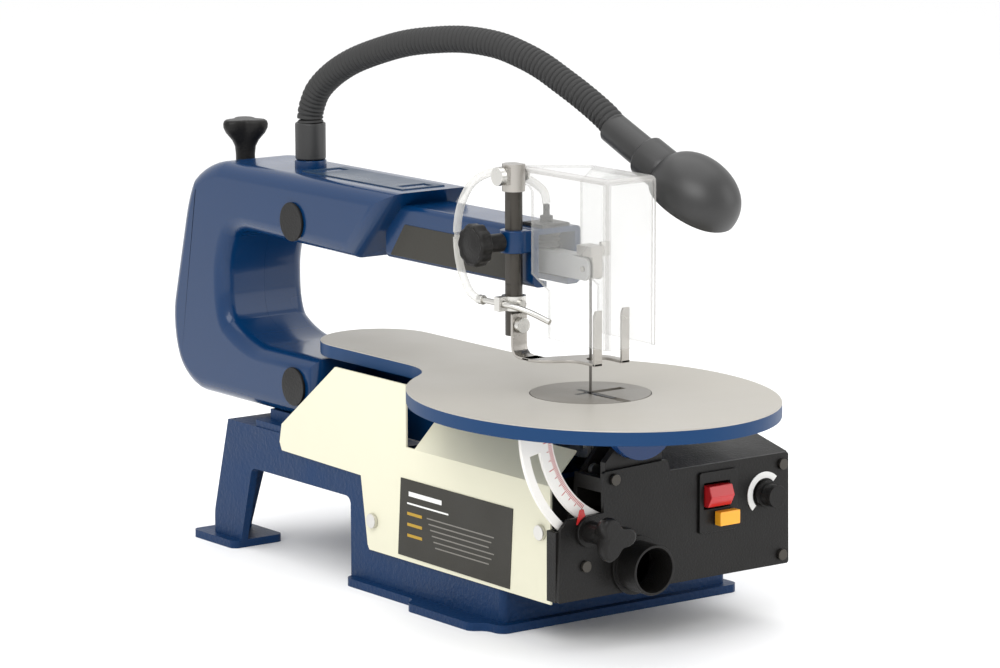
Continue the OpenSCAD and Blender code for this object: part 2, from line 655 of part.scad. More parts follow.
// Grip with three lobes on the stud that locks the tilt.
module tilt_lock_knob() saw() color("#24221f") translate([stud_x, 0, stud_z]) {
  front_plate(-86, -70) lobes(17);
  rod_y(0, -71, -56, 0, 15);
  rod_y(0, -57, scale_y1 + 0.6, 0, stud_d);
  rod_y(0, -56, panel_y - 0.4, 0, lock_washer_d);
}

// Sheet cover on the left side, with a leaning flange above and a folded edge in front.
module side_cover() saw() color("#e6e1cb") difference() {
  union() {
    side_plate(cover_x - cover_t, cover_x) polygon([
      [cover_y0, -141.5], [203, -141.5], [205, -138], [213, -88], [316, -86], [319, -80], [316, -66], [245, -12.5],
      [156, -12.5], [156, -58], [cover_y0, -58]
    ]);
    translate([0, 146, 0]) rotate([90, 0, 0]) linear_extrude(146 - cover_y0) polygon([
      [cover_x - cover_t, -59.6], [cover_x - cover_t, -58], [-23.5, -35.6], [-22.6, -36.5], [cover_x, -58.2]
    ]);
    block([cover_x - cover_t, cover_y0, -141.5], [cover_x + 0.1, cover_y0 + cover_t, -58]);
  }
  for (p = [[197, -119], [-4, -92]]) rod_x(cover_x - 5, cover_x + 5, p[0], p[1], 5);
  tilt_sweep(-130, 155, table_w / 2 + 2);
}
module cover_screws() saw() color("#b9b6ab") for (p = [[197, -119], [-4, -92]]) {
  rod_x(cover_x - cover_t - 3.2, cover_x - cover_t - 0.05, p[0], p[1], 11);
  rod_x(cover_x - cover_t - 1, cover_x + 6, p[0], p[1], 4.9);
}
// Blank data plate on the cover.
module data_plate() saw() color("#4a4842") side_plate(cover_x - cover_t - 0.6, cover_x - cover_t - 0.05)
  polygon([[162, -81], [28, -81], [32, -139], [166, -138]]);
// Dark plates along both sides of the front arm.
module arm_label() saw() color("#26282c") for (x = [-arm_half - 0.6, arm_half + 0.05])
  side_plate(x, x + 0.55) polygon([[190, 97], [208, 73], [62, 73], [62, 97]]);

// Housing of the switch and speed control, open behind the bracket.
module box_solid(t) {
  low = panel_z0 + t;
  side_plate(web_x0 + t, panel_x1 - t)
    polygon([[panel_back, low], [panel_back, -50 - t], [-7, -40 - t], [box_y1 - t, -40 - t], [box_y1 - t, low]]);
  block([-31 + t, panel_back, low], [web_x0 + 2 * t + 1, -14, -77]);
  block([-43 + t, -14 + t, low], [web_x0 + 2 * t + 1, box_y1 - t, -63]);
  block([-31 + t, -16, low], [web_x0 + 2 * t, 0, -77]);
  block([-69 + t, panel_back, low], [-20 + t, -40 - t, -81]);
}
module control_box() saw() color("#24221f") difference() {
  box_solid(0);
  box_solid(shell);
  block([-31 + shell, panel_back - 1, -110], [web_x0 - 1, box_y1 - shell, -50]);
  block([-69 + shell, panel_back - 1, -110], [-20, -40 - shell, -60]);
  block([-40, -11, -110], [web_x0 - 1, box_y1 - shell, -50]);
  rod_x(-46, -38, -4, -92, 5);
  block([-28, -60, -77.5], [web_x0 - 0.5, box_y1 - shell, -40]);
  block([20, panel_back - 1, -105], [40, scale_y1 + 3, -68]);
  tilt_sweep(-70, 60, table_w / 2 + 2);
}
// Flat front panel with the holes of the switch, key, speed knob, dust port and lock stud.
module front_panel() saw() color("#2a2826") difference() {
  front_plate(panel_y, panel_back) soft(2) polygon([
    [-69, panel_z0], [-67, -79], [-63, -73], [-30, -72], [-30, -44], [26, -42], [28, -50], [135, -50], [panel_x1, panel_z0]
  ]);
  rod_y(port_x, panel_y - 1, panel_back + 1, port_z, port_d - 2 * port_wall);
  rod_y(stud_x, panel_y - 1, panel_back + 1, stud_z, stud_d + 2 * fit);
  rod_y(dial_x, panel_y - 1, panel_back + 1, dial_z, 6 + 2 * fit);
  block([switch_x - 11.5, panel_y - 1, switch_z - 9.2], [switch_x + 11.5, panel_back + 1, switch_z + 9.2]);
  block([key_x - 5.4, panel_y - 1, key_z - 2.9], [key_x + 5.4, panel_back + 1, key_z + 2.9]);
  for (p = screw_spots) rod_y(p[0], panel_y - 1, panel_back + 1, p[1], 3.6);
  tilt_sweep(-70, 60, table_w / 2 + 2);
}
module panel_screws() saw() color("#55534e") for (p = screw_spots) {
  rod_y(p[0], panel_y - 2.6, panel_y - 0.05, p[1], 8);
  rod_y(p[0], panel_y - 1, panel_back - 0.2, p[1], 3.4);
}
// Plate around the switch.
module switch_plate() saw() color("#1f1e1c") difference() {
  front_plate(panel_y - plate_t, panel_y - 0.05) soft(2) translate([switch_x - 15.5, -98]) square([34, 43]);
  block([switch_x - 11.5, panel_y - 4, switch_z - 9.2], [switch_x + 11.5, panel_y + 1, switch_z + 9.2]);
  block([key_x - 5.4, panel_y - 4, key_z - 2.9], [key_x + 5.4, panel_y + 1, key_z + 2.9]);
}
module switch_paddle() saw() color("#c5262e") side_plate(switch_x - 10.5, switch_x + 10.5)
  translate([panel_y, switch_z]) polygon([[5, -6], [1, -7.5], [-5, -7.5], [-9, 0], [-6, 7.5], [1, 7.5], [5, 6]]);
// Removable key that blocks the switch.
module safety_key() saw() color("#f2a321") {
  block([key_x - 9, panel_y - 9, key_z - 5.5], [key_x + 9, panel_y - plate_t - 0.4, key_z + 4.5]);
  block([key_x - 5, panel_y - 3, key_z - 2.5], [key_x + 5, panel_back + 6, key_z + 2.5]);
}
// Ring plate with the speed scale around the knob.
module speed_plate() saw() color("#e4e2dc") front_plate(panel_y - 0.7, panel_y - 0.05) translate([dial_x, dial_z])
  difference() {
    circle(15.5);
    circle(11);
    rotate(-45) translate([0, -30]) square(60);
    rotate(225) square(40);
  }
module speed_knob() saw() color("#1d1c1a") {
  rod_y(dial_x, panel_y - 15, panel_y - 4, dial_z, dial_d);
  rod_y(dial_x, panel_y - 5, panel_y - 0.5, dial_z, dial_d + 3);
  rod_y(dial_x, panel_y - 4, panel_back + 8, dial_z, 6);
}
// Outlet for dust, open through the panel.
module dust_port() saw() color("#1e1c1a") difference() {
  union() {
    rod_y(port_x, panel_y - port_l, panel_y - 0.05, port_z, port_d);
    rod_y(port_x, panel_y - 2.5, panel_y - 0.05, port_z, port_d + 6);
  }
  rod_y(port_x, panel_y - port_l - 1, panel_y + 1, port_z, port_d - 2 * port_wall);
}

// Box over the motor on the right of the deck.
module motor_cover() saw() color("#2a2826") difference() {
  translate([0, 0, deck_z + 0.05]) linear_extrude(37) soft(6)
    translate([web_x0, wall_y0]) square([wall_x1 - web_x0, well_y1 - wall_y0]);
  translate([0, 0, deck_z - 1]) linear_extrude(38 - shell) soft(4)
    translate([web_x0 + shell, wall_y0 + shell]) square([wall_x1 - web_x0 - 2 * shell, well_y1 - wall_y0 - 2 * shell]);
  rod_y(120, well_y1 - 5, well_y1 + 1, -56, 10.2);
}
module cord_gland() saw() color("#1c1b1a") difference() {
  union() {
    rod_y(120, well_y1 - shell - 2, well_y1 + 1, -56, 10);
    rod_y(120, well_y1 + 0.05, well_y1 + 4, -56, 18);
    rod_y(120, well_y1 + 3, well_y1 + 12, -56, 13);
  }
  rod_y(120, well_y1 - 10, well_y1 + 20, -56, 7.4);
}
module motor() saw() color("#6f7274") difference() {
  union() {
    rod_x(web_x0 + base_wall + 0.05, 120, crank_y, motor_z, 2 * motor_r);
    rod_x(web_x0 + 1, web_x0 + base_wall + 1, crank_y, motor_z, 39.6);
  }
  rod_x(0, 60, crank_y, motor_z, 8 + 2 * fit);
}
module motor_shaft() saw() color("#b8babb") {
  rod_x(crank_x1 - 5, 58, crank_y, motor_z, 8);
}
// Disc with the crank pin.
module crank_disc() saw() color("#7d7f82") difference() {
  union() {
    rod_x(crank_x0, crank_x1, crank_y, motor_z, 26);
    rod_x(8.6, crank_x0 + 1, crank_y + throw_r, motor_z, crank_pin_d);
  }
  rod_x(crank_x1 - 5.1, crank_x1 + 1, crank_y, motor_z, 8);
}
// Rod from the crank pin to the pin of the lower rocker arm; its upper eye is oversize.
module connecting_rod() saw() color("#8a8c90") {
  y = crank_y + throw_r;
  bore = rocker_pin_d + 4 * throw_r + 0.8;
  difference() {
    side_plate(9, 15.4) {
      translate([y, motor_z]) circle(8);
      translate([y, lower_z]) circle(bore / 2 + 2.8);
      translate([y - 4, motor_z]) square([8, lower_z - motor_z]);
    }
    rod_x(0, 30, y, motor_z, crank_pin_d + 2 * fit);
    rod_x(0, 30, y, lower_z, bore);
  }
}

// Lamp: a sleeve on a round stub, a gooseneck, and a shade cut open below.
module lamp_base() saw() color("#22201e") difference() {
  translate([0, lamp_y, lamp_z + 0.3]) cylinder(h = sleeve_top - lamp_z - 0.3, d = 23);
  translate([0, lamp_y, lamp_z]) cylinder(h = 18.4, r = stub_r + fit);
}
module lamp_neck() saw() color("#24221f") tube(smooth(neck_route, 2), neck_d / 2, 16);
// Profile of the shade round its own axis, t inside the outer face.
function egg(t) = [for (a = [0 : 10 : 180]) let (x = 74 - (36 - t) * cos(a))
  [(shade_d / 2 - t) * pow(sin(a), 0.8), x]];
module lamp_head() saw() color("#1e1c1a") translate(head_start) rotate(head_tilt) {
  difference() {
    rotate_extrude() polygon(egg(0));
    rotate_extrude() polygon(egg(2.5));
    translate([8, -50, 36]) cube([60, 100, 90]);
  }
  difference() {
    translate([0, 0, 1.6]) cylinder(h = 42.8, d1 = 25, d2 = 30);
    translate([0, 0, 40]) cylinder(h = 10, d = 26);
  }
}
module lamp_bulb() saw() color("#f3efe2") translate(head_start) rotate(head_tilt) {
  translate([0, 0, 44.5]) cylinder(h = 14, d = 16);
  translate([0, 0, 72]) sphere(16, $fn = 32);
}

base_casting();
frame_left_half();
frame_right_half();
frame_top_plate();
frame_bolts();
pivot_caps();
pivot_shafts();
upper_rocker_arm();
lower_rocker_arm();
tension_rod();
tension_knob();
upper_blade_holder();
upper_thumb_screw();
lower_blade_holder();
lower_clamp_screw();
saw_blade();
air_bellows();
air_fitting();
air_hose();
blower_pipe();
pipe_clip();
guard_post();
post_lock_knob();
guard_clamp();
guard_screw();
blade_guard();
presser_foot();
foot_screw();
table_top();
table_insert();
table_trunnion();
tilt_scale();
tilt_pointer();
front_bracket();
bracket_bolts();
tilt_lock_knob();
side_cover();
cover_screws();
data_plate();
arm_label();
control_box();
front_panel();
panel_screws();
switch_plate();
switch_paddle();
safety_key();
speed_plate();
speed_knob();
dust_port();
cord_gland();
motor_cover();
motor();
motor_shaft();
crank_disc();
connecting_rod();
lamp_base();
lamp_neck();
lamp_head();
lamp_bulb();
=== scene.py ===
"""Looks of a bench scroll saw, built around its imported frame."""

import json
import math

import bmesh
import bpy
from mathutils import Matrix, Vector


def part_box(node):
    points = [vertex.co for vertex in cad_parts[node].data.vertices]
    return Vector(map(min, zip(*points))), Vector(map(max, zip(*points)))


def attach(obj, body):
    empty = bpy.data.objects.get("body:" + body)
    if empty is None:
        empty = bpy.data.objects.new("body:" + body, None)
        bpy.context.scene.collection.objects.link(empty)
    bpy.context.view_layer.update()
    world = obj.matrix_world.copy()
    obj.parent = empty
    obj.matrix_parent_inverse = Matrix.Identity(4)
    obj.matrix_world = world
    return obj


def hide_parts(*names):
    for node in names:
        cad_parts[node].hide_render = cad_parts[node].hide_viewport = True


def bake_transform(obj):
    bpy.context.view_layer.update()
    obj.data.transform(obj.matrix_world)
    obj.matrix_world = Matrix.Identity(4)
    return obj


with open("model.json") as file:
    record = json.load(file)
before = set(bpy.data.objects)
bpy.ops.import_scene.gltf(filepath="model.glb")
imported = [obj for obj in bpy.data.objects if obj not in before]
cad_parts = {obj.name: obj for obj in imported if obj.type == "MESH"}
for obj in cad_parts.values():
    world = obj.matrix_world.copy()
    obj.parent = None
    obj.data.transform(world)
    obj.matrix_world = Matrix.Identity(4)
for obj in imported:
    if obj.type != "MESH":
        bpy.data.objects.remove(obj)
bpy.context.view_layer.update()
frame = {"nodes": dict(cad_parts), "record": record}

bl_info = {
    "name": "Scroll saw",
    "version": (1, 0, 0),
    "blender": (4, 5, 0),
    "location": "3D View > Sidebar > Saw",
    "description": "Finishes the pieces of a scroll saw",
    "category": "Object",
}

MM = 0.001
# Places in millimetres: the guard post, its lock grip's height, the lamp's seat and the blower pipe.
POST_X, POST_Y, LOCK_Z = -30, 48, 103
LAMP_Y = 341
PIPE_X = -41
blade_lo, blade_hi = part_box("saw_blade")
TABLE_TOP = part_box("table_top")[1].z
ORIGIN = Vector(((blade_lo.x + blade_hi.x) / 2, (blade_lo.y + blade_hi.y) / 2, TABLE_TOP))
BODY_OF = {n: b for b, ns in frame["record"]["behaviour"]["bodies"].items() for n in ns}
SLOT_OF = {s["node"]: s["material_slot"] for s in frame["record"]["subparts"]}


def at(x, y, z):
    """A point given in millimetres from the blade line and the table top."""
    return ORIGIN + Vector((x, y, z)) * MM


# ---------------------------------------------------------------- materials

def new_group(name, inputs, outputs):
    """A shader node group with its inputs and outputs."""
    group = bpy.data.node_groups.new(name, "ShaderNodeTree")
    for label, kind, value in inputs:
        socket = group.interface.new_socket(label, in_out="INPUT", socket_type=kind)
        socket.default_value = value
    for label, kind in outputs:
        group.interface.new_socket(label, in_out="OUTPUT", socket_type=kind)
    first = group.nodes.new("NodeGroupInput")
    last = group.nodes.new("NodeGroupOutput")
    return group, first, last


def grain_group():
    """Fine pebbles and soft blotches: Height for a bump, Mask for a change of tone."""
    name = "Pebble grain"
    if name in bpy.data.node_groups:
        return bpy.data.node_groups[name]
    group, first, last = new_group(
        name,
        [("Scale", "NodeSocketFloat", 300.0), ("Blotch", "NodeSocketFloat", 18.0)],
        [("Height", "NodeSocketFloat"), ("Mask", "NodeSocketFloat")],
    )
    link = group.links.new
    place = group.nodes.new("ShaderNodeTexCoord")
    fine = group.nodes.new("ShaderNodeTexNoise")
    fine.inputs["Detail"].default_value = 4.0
    broad = group.nodes.new("ShaderNodeTexNoise")
    broad.inputs["Detail"].default_value = 3.0
    link(place.outputs["Object"], fine.inputs["Vector"])
    link(place.outputs["Object"], broad.inputs["Vector"])
    link(first.outputs["Scale"], fine.inputs["Scale"])
    link(first.outputs["Blotch"], broad.inputs["Scale"])
    link(fine.outputs["Fac"], last.inputs["Height"])
    link(broad.outputs["Fac"], last.inputs["Mask"])
    return group


def brush_group():
    """Fine lines along one axis, as a grinding wheel leaves them."""
    name = "Ground lines"
    if name in bpy.data.node_groups:
        return bpy.data.node_groups[name]
    group, first, last = new_group(
        name,
        [("Stretch", "NodeSocketVector", (60.0, 900.0, 60.0)), ("Blotch", "NodeSocketFloat", 14.0)],
        [("Height", "NodeSocketFloat"), ("Mask", "NodeSocketFloat")],
    )
    link = group.links.new
    place = group.nodes.new("ShaderNodeTexCoord")
    mapping = group.nodes.new("ShaderNodeMapping")
    lines = group.nodes.new("ShaderNodeTexNoise")
    lines.inputs["Scale"].default_value = 1.0
    lines.inputs["Detail"].default_value = 3.0
    blotch = group.nodes.new("ShaderNodeTexNoise")
    blotch.inputs["Detail"].default_value = 5.0
    link(place.outputs["Object"], mapping.inputs["Vector"])
    link(first.outputs["Stretch"], mapping.inputs["Scale"])
    link(mapping.outputs["Vector"], lines.inputs["Vector"])
    link(place.outputs["Object"], blotch.inputs["Vector"])
    link(first.outputs["Blotch"], blotch.inputs["Scale"])
    link(lines.outputs["Fac"], last.inputs["Height"])
    link(blotch.outputs["Fac"], last.inputs["Mask"])
    return group


def finish_material(name, colour, rough, metallic=0.0, grain=300.0, bump=0.1, tone=0.12, blotch=18.0,
                    coat=0.0, brushed=None, alpha=1.0, transmission=0.0, rough_change=0.08):
    """A Principled surface whose tone, roughness and relief vary over the piece."""
    if name in bpy.data.materials:
        return bpy.data.materials[name]
    mat = bpy.data.materials.new(name)
    mat.use_nodes = True
    nodes, link = mat.node_tree.nodes, mat.node_tree.links.new
    shader = nodes["Principled BSDF"]
    effect = nodes.new("ShaderNodeGroup")
    if brushed:
        effect.node_tree = brush_group()
        effect.inputs["Stretch"].default_value = brushed
    else:
        effect.node_tree = grain_group()
        effect.inputs["Scale"].default_value = grain
    effect.inputs["Blotch"].default_value = blotch
    ramp = nodes.new("ShaderNodeMix")
    ramp.data_type = "RGBA"
    dark = [c * (1 - tone) for c in colour[:3]] + [1.0]
    light = [min(1.0, c * (1 + tone)) for c in colour[:3]] + [1.0]
    ramp.inputs[6].default_value = dark
    ramp.inputs[7].default_value = light
    spread = nodes.new("ShaderNodeMapRange")
    spread.inputs["From Min"].default_value = 0.35
    spread.inputs["From Max"].default_value = 0.65
    spread.inputs["To Min"].default_value = max(0.02, rough - rough_change)
    spread.inputs["To Max"].default_value = min(1.0, rough + rough_change)
    relief = nodes.new("ShaderNodeBump")
    relief.inputs["Strength"].default_value = bump
    relief.inputs["Distance"].default_value = 0.0006
    link(effect.outputs["Mask"], ramp.inputs[0])
    link(ramp.outputs[2], shader.inputs["Base Color"])
    link(effect.outputs["Mask"], spread.inputs["Value"])
    link(spread.outputs["Result"], shader.inputs["Roughness"])
    link(effect.outputs["Height"], relief.inputs["Height"])
    link(relief.outputs["Normal"], shader.inputs["Normal"])
    shader.inputs["Metallic"].default_value = metallic
    if not metallic:
        shader.inputs["Specular IOR Level"].default_value = 0.22
    shader.inputs["Coat Weight"].default_value = coat
    shader.inputs["Coat Roughness"].default_value = 0.08
    shader.inputs["Alpha"].default_value = alpha
    shader.inputs["Transmission Weight"].default_value = transmission
    return mat


def table_material():
    """Ground iron on the faces that look up, and glossy blue paint round the edge and below."""
    mat = finish_material("table_finish", settings().ground_colour, 0.42, brushed=(240.0, 240.0, 60.0),
                          bump=0.08,
                          tone=0.1, blotch=9.0)
    nodes, link = mat.node_tree.nodes, mat.node_tree.links.new
    shader = nodes["Principled BSDF"]
    if "painted edge" in nodes:
        return mat
    level = nodes.new("ShaderNodeMath")
    level.operation = "GREATER_THAN"
    level.inputs[1].default_value = TABLE_TOP - 0.9 * MM
    level.name = "painted edge"
    place = nodes.new("ShaderNodeTexCoord")
    height = nodes.new("ShaderNodeSeparateXYZ")
    link(place.outputs["Object"], height.inputs["Vector"])
    mix = nodes.new("ShaderNodeMix")
    mix.data_type = "RGBA"
    mix.inputs[6].default_value = (*settings().edge_colour, 1.0)
    ground = shader.inputs["Base Color"].links[0].from_socket
    link(height.outputs["Z"], level.inputs[0])
    link(level.outputs["Value"], mix.inputs[0])
    link(ground, mix.inputs[7])
    link(mix.outputs[2], shader.inputs["Base Color"])
    metal = nodes.new("ShaderNodeMath")
    metal.operation = "MULTIPLY"
    metal.inputs[1].default_value = 0.35
    link(level.outputs["Value"], metal.inputs[0])
    link(metal.outputs["Value"], shader.inputs["Metallic"])
    return mat


def clear_material(name="guard_clear", low=0.07, high=0.42, tint=(0.62, 0.62, 0.6)):
    """Clear plastic: nearly unseen face on, and denser where the sheet is seen edge on."""
    if name in bpy.data.materials:
        return bpy.data.materials[name]
    mat = bpy.data.materials.new(name)
    mat.use_nodes = True
    nodes, link = mat.node_tree.nodes, mat.node_tree.links.new
    shader = nodes["Principled BSDF"]
    shader.inputs["Base Color"].default_value = (*tint, 1.0)
    shader.inputs["Roughness"].default_value = 0.08
    shader.inputs["IOR"].default_value = 1.45
    facing = nodes.new("ShaderNodeLayerWeight")
    facing.inputs["Blend"].default_value = 0.25
    spread = nodes.new("ShaderNodeMapRange")
    spread.inputs["To Min"].default_value = low
    spread.inputs["To Max"].default_value = high
    grime = nodes.new("ShaderNodeGroup")
    grime.node_tree = grain_group()
    grime.inputs["Blotch"].default_value = 30.0
    add = nodes.new("ShaderNodeMath")
    add.operation = "MULTIPLY_ADD"
    add.inputs[1].default_value = 0.05
    link(facing.outputs["Facing"], spread.inputs["Value"])
    link(grime.outputs["Mask"], add.inputs[0])
    link(spread.outputs["Result"], add.inputs[2])
    link(add.outputs["Value"], shader.inputs["Alpha"])
    return mat


def rim_shade_material():
    """The cut edges and folds of the clear sheet, which catch the light: painted shade, a denser and darker
    grey for the dark lines seen along them.
    """
    return clear_material("guard_rim_shade", 0.4, 0.7, (0.42, 0.41, 0.39))


def finishes():
    """The finish of each material slot in the record."""
    s = settings()
    steel = dict(metallic=1.0, brushed=(400.0, 60.0, 400.0), bump=0.05, tone=0.08)
    return {
        "blue_cast": lambda: finish_material("cast_blue", s.cast_colour, 0.42, grain=330.0, bump=0.9,
                                             tone=0.3),
        "blue_gloss": lambda: finish_material("gloss_blue", s.gloss_colour, 0.24, grain=90.0, bump=0.03,
                                              tone=0.08,
                                              blotch=9.0, coat=0.25, rough_change=0.04),
        "inlay_plate": lambda: finish_material("inlay_blue", (0.012, 0.035, 0.075), 0.3, grain=300.0,
                                               bump=0.1),
        "black_plastic": lambda: finish_material("black_grain", s.black_colour, 0.4, grain=650.0, bump=0.5),
        "black_metal": lambda: finish_material("black_paint", (0.012, 0.011, 0.01), 0.38, grain=500.0,
                                               bump=0.2),
        "steel": lambda: finish_material("zinc_steel", (0.62, 0.61, 0.58), 0.3, **steel),
        "dark_steel": lambda: finish_material("black_oxide", (0.055, 0.05, 0.043), 0.33, metallic=0.7,
                                              grain=500.0,
                                              bump=0.15),
        "cast_steel": lambda: finish_material("satin_steel", (0.42, 0.4, 0.37), 0.3, metallic=1.0,
                                              grain=400.0,
                                              bump=0.15),
        "blade_steel": lambda: finish_material("blade_blue", (0.2, 0.19, 0.18), 0.3, metallic=0.9,
                                               grain=600.0),
        "aluminium": lambda: finish_material("cast_aluminium", (0.5, 0.5, 0.5), 0.5, metallic=0.8,
                                             grain=500.0,
                                             bump=0.3),
        "bellows_rubber": lambda: finish_material("rubber", (0.01, 0.01, 0.01), 0.5, grain=600.0),
        "hose_plastic": lambda: clear_material("hose_clear", 0.32, 0.85, (0.72, 0.71, 0.67)),
        "clear_plastic": clear_material,
        "ground_iron": table_material,
        "insert_steel": lambda: finish_material("insert_plate", (0.2, 0.185, 0.16), 0.42, metallic=0.5,
                                                grain=800.0,
                                                bump=0.2, tone=0.2),
        "trunnion_blue": lambda: finish_material("trunnion_paint", (0.002, 0.03, 0.12), 0.28, grain=200.0,
                                                 coat=0.3),
        "scale_white": lambda: finish_material("scale_print", (0.78, 0.76, 0.72), 0.4, grain=300.0,
                                               tone=0.05),
        "pointer_red": lambda: finish_material("pointer_red", (0.45, 0.015, 0.02), 0.3, grain=300.0),
        "cream_paint": lambda: finish_material("cream_enamel", s.cream_colour, 0.36, grain=260.0, bump=0.08,
                                               tone=0.035),
        "plate_dark": lambda: finish_material("plate_print", (0.03, 0.028, 0.022), 0.4, grain=500.0,
                                              bump=0.08),
        "switch_red": lambda: finish_material("switch_red", (0.45, 0.006, 0.01), 0.25, grain=300.0, coat=0.3),
        "key_yellow": lambda: finish_material("key_yellow", (0.88, 0.33, 0.006), 0.3, grain=300.0, coat=0.2),
        "print_white": lambda: finish_material("print_white", (0.75, 0.74, 0.7), 0.45, grain=300.0,
                                               tone=0.05),
        "lamp_black": lambda: finish_material("lamp_black", (0.009, 0.0085, 0.008), 0.33, grain=500.0,
                                              bump=0.2),
        "neck_black": lambda: finish_material("neck_black", (0.012, 0.0115, 0.011), 0.36, grain=500.0,
                                              bump=0.1),
        "bulb_glass": lambda: finish_material("bulb_frosted", (0.9, 0.88, 0.8), 0.35, grain=200.0, tone=0.03),
    }


# ---------------------------------------------------------------- mesh helpers

def finish_piece(name, bm, node, slot=None, replaces=True, smooth=30.0, body=None, finish=None):
    """Makes an object of a bmesh, gives it its finish and lets it ride with its node's body."""
    mesh = bpy.data.meshes.new(name)
    bm.to_mesh(mesh)
    bm.free()
    for polygon in mesh.polygons:
        polygon.use_smooth = True
    mesh.set_sharp_from_angle(angle=math.radians(smooth))
    obj = bpy.data.objects.new(name, mesh)
    bpy.context.scene.collection.objects.link(obj)
    slot = slot or SLOT_OF[node]
    mesh.materials.append(finish or finishes()[slot]())
    even = obj.modifiers.new("even shading", "WEIGHTED_NORMAL")
    even.keep_sharp = True
    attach(obj, body or BODY_OF[node])
    if replaces:
        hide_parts(node)
    return obj


def polished(node, width, segments=2, sharp=35.0, slot=None):
    """A copy of a CAD piece with its sharp edges rounded, which stands for it."""
    bm = bmesh.new()
    bm.from_mesh(frame["nodes"][node].data)
    bmesh.ops.remove_doubles(bm, verts=bm.verts, dist=1e-6)
    bmesh.ops.dissolve_limit(bm, angle_limit=math.radians(1.0), verts=bm.verts, edges=bm.edges,
                             delimit={"NORMAL"})
    edges = [e for e in bm.edges if len(e.link_faces) == 2 and e.calc_face_angle(0) > math.radians(sharp)]
    if edges and width > 0:
        bmesh.ops.bevel(bm, geom=edges, offset=width * MM, offset_type="OFFSET", affect="EDGES",
                        segments=segments,
                        profile=0.5, material=-1, clamp_overlap=True)
    return finish_piece(node + "_finished", bm, node, slot)


def outline_face(bm, points):
    """A face from points given in order."""
    return bm.faces.new([bm.verts.new(p) for p in points])


def round_corners(bm, corners):
    """Rounds corners of a flat face: corners is a list of (vertex, radius)."""
    for vert, radius in corners:
        bmesh.ops.bevel(bm, geom=[vert], offset=radius, offset_type="OFFSET", affect="VERTICES", segments=6,
                        profile=0.5, material=-1, clamp_overlap=False)


def sweep(bm, points, radii, sides):
    """A tube through points whose radius changes from ring to ring, with closed ends."""
    def heading(i):
        return (points[min(i + 1, len(points) - 1)] - points[max(i - 1, 0)]).normalized()
    made = bmesh.ops.create_circle(bm, cap_ends=True, segments=sides, radius=1.0)
    ring = made["verts"]
    shape = [v.co.copy() for v in ring]

    def place(verts, i):
        turn = heading(i).to_track_quat("Z", "X").to_matrix()
        for v, c in zip(verts, shape):
            v.co = points[i] + turn @ (c * radii[i])
    place(ring, 0)
    face = ring[0].link_faces[0]
    loop = list(ring)
    for i in range(1, len(points)):
        edges = [bm.edges.get((loop[k], loop[(k + 1) % sides])) for k in range(sides)]
        grown = bmesh.ops.extrude_edge_only(bm, edges=edges)["geom"]
        new = {v for v in grown if isinstance(v, bmesh.types.BMVert)}
        follow = []
        for v in loop:
            follow.append([e.other_vert(v) for e in v.link_edges if e.other_vert(v) in new][0])
        loop = follow
        place(loop, i)
    bm.faces.new(loop)
    bmesh.ops.recalc_face_normals(bm, faces=bm.faces)
    return face


def smooth_path(points, steps):
    """Points of a smooth curve through the chosen points."""
    out = []
    last = len(points) - 1
    for i in range(last):
        a, b, c, d = points[max(i - 1, 0)], points[i], points[i + 1], points[min(i + 2, last)]
        for j in range(steps):
            s = j / steps
            out.append(0.5 * (2 * b + (c - a) * s + (2 * a - 5 * b + 4 * c - d) * s ** 2
                              + (3 * b - a - 3 * c + d) * s ** 3))
    out.append(points[last])
    return out


def even_path(points, pitch):
    """The same line with points a fixed distance apart."""
    out = [points[0]]
    left = pitch
    for a, b in zip(points, points[1:]):
        length = (b - a).length
        done = 0.0
        while length - done >= left:
            done += left
            out.append(a.lerp(b, done / length))
            left = pitch
        left -= length - done
    return out


def spun(bm, profile, centre, axis, steps=48):
    """Spins (radius, height) pairs round an axis through centre. The first and last lie on the axis."""
    turn = Vector(axis).to_track_quat("Z", "Y").to_matrix().to_4x4()
    verts = [bm.verts.new(Vector((r, 0, h))) for r, h in profile]
    edges = [bm.edges.new(pair) for pair in zip(verts, verts[1:])]
    made = bmesh.ops.spin(bm, geom=verts + edges, cent=(0, 0, 0), axis=(0, 0, 1), angle=math.tau, steps=steps,
                          use_merge=True, use_duplicate=False)
    fresh = {v for v in bm.verts if v.is_valid}
    bmesh.ops.remove_doubles(bm, verts=list(fresh), dist=1e-7)
    bmesh.ops.transform(bm, matrix=Matrix.Translation(centre) @ turn, verts=bm.verts)
    bmesh.ops.recalc_face_normals(bm, faces=bm.faces)
    return made


# ---------------------------------------------------------------- settings

